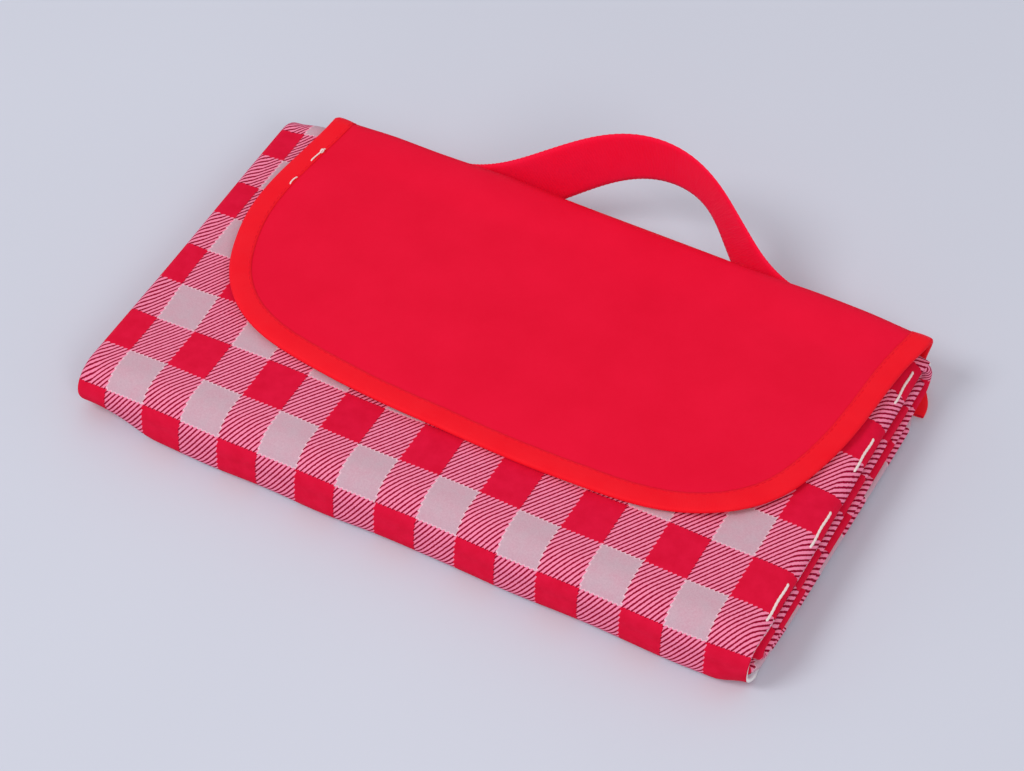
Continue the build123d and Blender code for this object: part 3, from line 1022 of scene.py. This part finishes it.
# the strap's middle line, the way along it, the way across it and the way out of it
line = handle_line()
centre, u = line[:, :3], line[:, 3]
way = unit(np.gradient(centre, axis=0))
lean = np.interp(u, *zip(*LEAN_AT))
for _ in range(200):
    lean[1:-1] = lean[1:-1] / 2 + (lean[:-2] + lean[2:]) / 4
upright = np.stack([0 * lean, np.sin(lean), np.cos(lean)], 1)
upright = unit(upright - way * (upright * way).sum(1, keepdims=True))
outward = np.cross(upright, way)
outward *= np.sign(outward[:, 1:2] + 1e-9)
# the strap across: it has ribs and toothed edges, and its edges bend in
side = np.linspace(-1, 1, 13)
wide_points = np.concatenate([side, side[::-1]]) * (WEB_WIDTH / 2)
face = np.sqrt(np.clip(1 - np.abs(side) ** 14, 0.03, 1))
thick_points = np.concatenate([face, -face[::-1]]) * (WEB_THICK / 2)
rib = 1 + 0.07 * np.cos(np.arange(len(centre)) * pi)
tooth = 1 + 0.006 * np.cos(np.arange(len(centre)) * pi / 2)
cup = 0.5 * (1 - u**2)[:, None] * (np.abs(wide_points[None]) / (WEB_WIDTH / 2)) ** 2
rings = (
    centre[:, None]
    + upright[:, None] * (wide_points[None] * tooth[:, None])[..., None]
    + outward[:, None] * (thick_points[None] * rib[:, None] - cup)[..., None]
)
points, quads = tube(rings)
girth = np.concatenate([side, 2 + side]) * (WEB_WIDTH / 2)
down_strap = np.arange(len(centre)) * STEP
web_uv = np.stack(np.broadcast_arrays(girth[None], down_strap[:, None]), -1).reshape(-1, 2) * MM
strap = make("webbing_handle", points, quads, web_uv, materials=(WEBBING,))
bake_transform(strap)
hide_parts("handle_loop", "handle_sewn_end_left", "handle_sewn_end_right")

# the box of stitches with a cross in it that holds each end
BOX_HALF, BOX_Y = 11.0, 100.72
corners = [(-BOX_HALF, -BOX_HALF), (BOX_HALF, -BOX_HALF), (BOX_HALF, BOX_HALF), (-BOX_HALF, BOX_HALF)]
sides = [(corners[k], corners[(k + 1) % 4]) for k in range(4)]
crossed = [(corners[0], corners[2]), (corners[1], corners[3])]
for name, middle_x in (("left", HANDLE_X - HALF_SPAN - SEWN / 2), ("right", HANDLE_X + HALF_SPAN + SEWN / 2)):
    parts = []
    for (ax, az), (bx, bz) in sides + crossed:
        ends = np.array([(middle_x + ax, BOX_Y, FOOT_Z + az), (middle_x + bx, BOX_Y, FOOT_Z + bz)])
        path = resample(ends, 1.0)
        parts += stitching(path, np.tile([0.0, 1.0, 0.0], (len(path), 1)), 2.4, 0.7, 0.5, 0.12)
    box = many(f"handle_box_stitches_{name}", parts, RED_THREAD)
    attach(box, "mat")
    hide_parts(f"handle_box_stitch_{name}")


# ---- floor, light and camera -------------------------------------------------------------------------------

floor_mesh = bpy.data.meshes.new("floor")
floor_mesh.from_pydata([(-4, -4, 0), (4, -4, 0), (4, 4, 0), (-4, 4, 0)], [], [(0, 1, 2, 3)])
floor = bpy.data.objects.new("floor", floor_mesh)
bpy.context.collection.objects.link(floor)
paper = Finish("pale_floor", roughness=0.55, specular=0.2)
shade = paper.fit(paper.noise(3, 2), 0.3, 0.7, 0.0, 1.0)
paper.colour(paper.mix(shade, linear(213, 215, 228), linear(216, 218, 231)))
floor_mesh.materials.append(paper.material)


def lamp(name, place, size, power):
    """A round soft light that faces the part."""
    data = bpy.data.lights.new(name, "AREA")
    data.shape = "DISK"
    data.size = size
    data.energy = power
    obj = bpy.data.objects.new(name, data)
    obj.location = place
    obj.rotation_euler = (Vector((0, 0, 0)) - Vector(place)).to_track_quat("-Z", "Y").to_euler()
    bpy.context.collection.objects.link(obj)


lamp("key_light", (-1.3, -1.6, 2.5), 1.25, 33.5)
lamp("fill_light", (1.75, -1.7, 1.9), 1.1, 15.5)
world = bpy.data.worlds.new("studio")
world.use_nodes = True
world.node_tree.nodes["Background"].inputs[0].default_value = (0.97, 0.98, 1.0, 1)
world.node_tree.nodes["Background"].inputs[1].default_value = 0.585
bpy.context.scene.world = world
bpy.context.scene.view_settings.view_transform = "Standard"

AZIMUTH, ELEVATION, DISTANCE = radians(28.13), radians(47.88), 1.3853
LENS, SENSOR = 109.37, 36
target = Vector((0.00859, -0.01379, 0.030))
back = Vector((sin(AZIMUTH) * cos(ELEVATION), -cos(AZIMUTH) * cos(ELEVATION), sin(ELEVATION)))
right = Vector((cos(AZIMUTH), sin(AZIMUTH), 0))
camera_data = bpy.data.cameras.new("camera")
camera_data.lens = LENS
camera_data.sensor_width = SENSOR
camera = bpy.data.objects.new("camera", camera_data)
turned = Matrix((right, back.cross(right), back)).transposed().to_4x4()
camera.matrix_world = Matrix.Translation(target + back * DISTANCE) @ turned
bpy.context.collection.objects.link(camera)
bpy.context.scene.camera = camera
